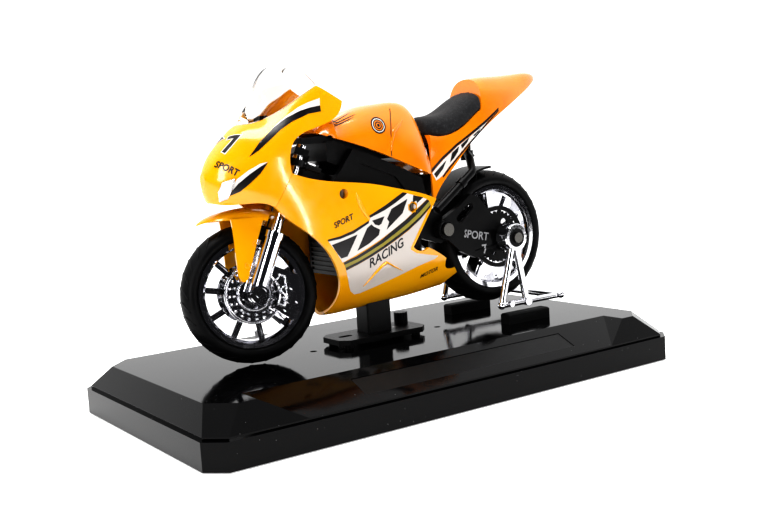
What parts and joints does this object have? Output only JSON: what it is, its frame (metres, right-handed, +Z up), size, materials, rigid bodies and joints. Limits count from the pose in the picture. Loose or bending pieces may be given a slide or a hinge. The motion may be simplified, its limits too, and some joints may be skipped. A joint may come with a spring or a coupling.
{
  "type": "model motorcycle on display plinth",
  "caption": "Racing motorcycle display model with full fairing, turning steering and rolling wheels, screwed to a bevelled plinth, its rear wheel on a hinged paddock stand.",
  "frame": {"origin": "middle of the plinth's footprint, in the plane its feet stand on", "axes": "+Z up; the motorcycle faces -X; its left side faces -Y; the plinth's length runs along X"},
  "size_m": [0.19, 0.102, 0.114],
  "materials": {
    "gloss_black_plastic": "gloss",
    "satin_black_plastic": "satin",
    "screw_steel": "satin",
    "foot_rubber": "matte",
    "grip_rubber": "matte",
    "tyre_rubber": "matte",
    "chrome_plating": "polished",
    "yellow_plastic": "gloss",
    "orange_enamel": "gloss",
    "clear_plastic": "clear",
    "seat_plastic": "matte"
  },
  "bodies": {
    "plinth_and_chassis": {"plinth_tray": "gloss_black_plastic", "plinth_deck": "gloss_black_plastic", "name_plate": "satin_black_plastic", "plinth_screws": "screw_steel", "plinth_feet": "foot_rubber", "mount_post": "satin_black_plastic", "mount_plate": "satin_black_plastic", "mount_screws": "screw_steel", "mount_knob": "satin_black_plastic", "nose_cowl": "yellow_plastic", "fairing_left": "yellow_plastic", "fairing_right": "yellow_plastic", "fairing_screws": "screw_steel", "windscreen": "clear_plastic", "tank_cover": "orange_enamel", "tail_cowl": "orange_enamel", "under_tail": "satin_black_plastic", "seat_pad": "seat_plastic", "airbox": "satin_black_plastic", "main_frame": "satin_black_plastic", "engine_casing": "satin_black_plastic", "engine_covers": "satin_black_plastic", "engine_bolts": "screw_steel", "radiator": "satin_black_plastic", "pivot_bolt": "screw_steel", "tail_frame": "satin_black_plastic", "tail_strut": "satin_black_plastic", "exhaust_pipe": "satin_black_plastic", "instrument_panel": "satin_black_plastic", "stand_pads": "foot_rubber"},
    "steering": {"fork_stanchions": "chrome_plating", "bottom_clamp": "satin_black_plastic", "steering_stem": "screw_steel", "top_clamp": "satin_black_plastic", "stem_nut": "chrome_plating", "handlebars": "satin_black_plastic", "hand_grips": "grip_rubber"},
    "fork": {"fork_slider_left": "chrome_plating", "fork_slider_right": "chrome_plating", "front_axle": "chrome_plating", "front_caliper_left": "chrome_plating", "front_caliper_right": "chrome_plating", "front_fender": "yellow_plastic"},
    "front_wheel": {"front_tyre": "tyre_rubber", "front_rim": "chrome_plating", "front_discs": "chrome_plating"},
    "swing_arm": {"swing_arm_left": "satin_black_plastic", "swing_arm_right": "satin_black_plastic", "rear_hugger": "satin_black_plastic", "drive_chain": "satin_black_plastic", "rear_caliper": "satin_black_plastic", "rear_axle": "screw_steel", "rear_spools": "satin_black_plastic"},
    "rear_wheel": {"rear_tyre": "tyre_rubber", "rear_rim": "chrome_plating", "rear_sprocket": "satin_black_plastic", "rear_disc": "chrome_plating"},
    "paddock_stand": {"stand_left": "chrome_plating", "stand_right": "chrome_plating", "stand_cross_bar": "chrome_plating"}
  },
  "joints": [
    {"name": "steer", "type": "hinge", "parent": "plinth_and_chassis", "child": "steering", "pos_m": [-0.05061, 0, 0.03922], "axis": [0.4067, 0, 0.9135], "range_deg": [-6, 34]},
    {"name": "fork_travel", "type": "slide", "parent": "steering", "child": "fork", "axis": [0.4067, 0, 0.9135], "range_m": [0, 0.002]},
    {"name": "front_wheel_spin", "type": "hinge", "parent": "fork", "child": "front_wheel", "pos_m": [-0.05273, 0.00058, 0.04017], "axis": [0.221, 0.9703, -0.0984], "continuous": true},
    {"name": "swing_arm_pivot", "type": "hinge", "parent": "plinth_and_chassis", "child": "swing_arm", "pos_m": [0.0204, 0, 0.0542], "axis": [0, -1, 0], "range_deg": [0, 3]},
    {"name": "rear_wheel_spin", "type": "hinge", "parent": "swing_arm", "child": "rear_wheel", "pos_m": [0.0486, 0, 0.0485], "axis": [0, 1, 0], "continuous": true},
    {"name": "stand_swing", "type": "hinge", "parent": "swing_arm", "child": "paddock_stand", "pos_m": [0.0486, 0, 0.0485], "axis": [0, -1, 0], "range_deg": [0, 95]}
  ]
}
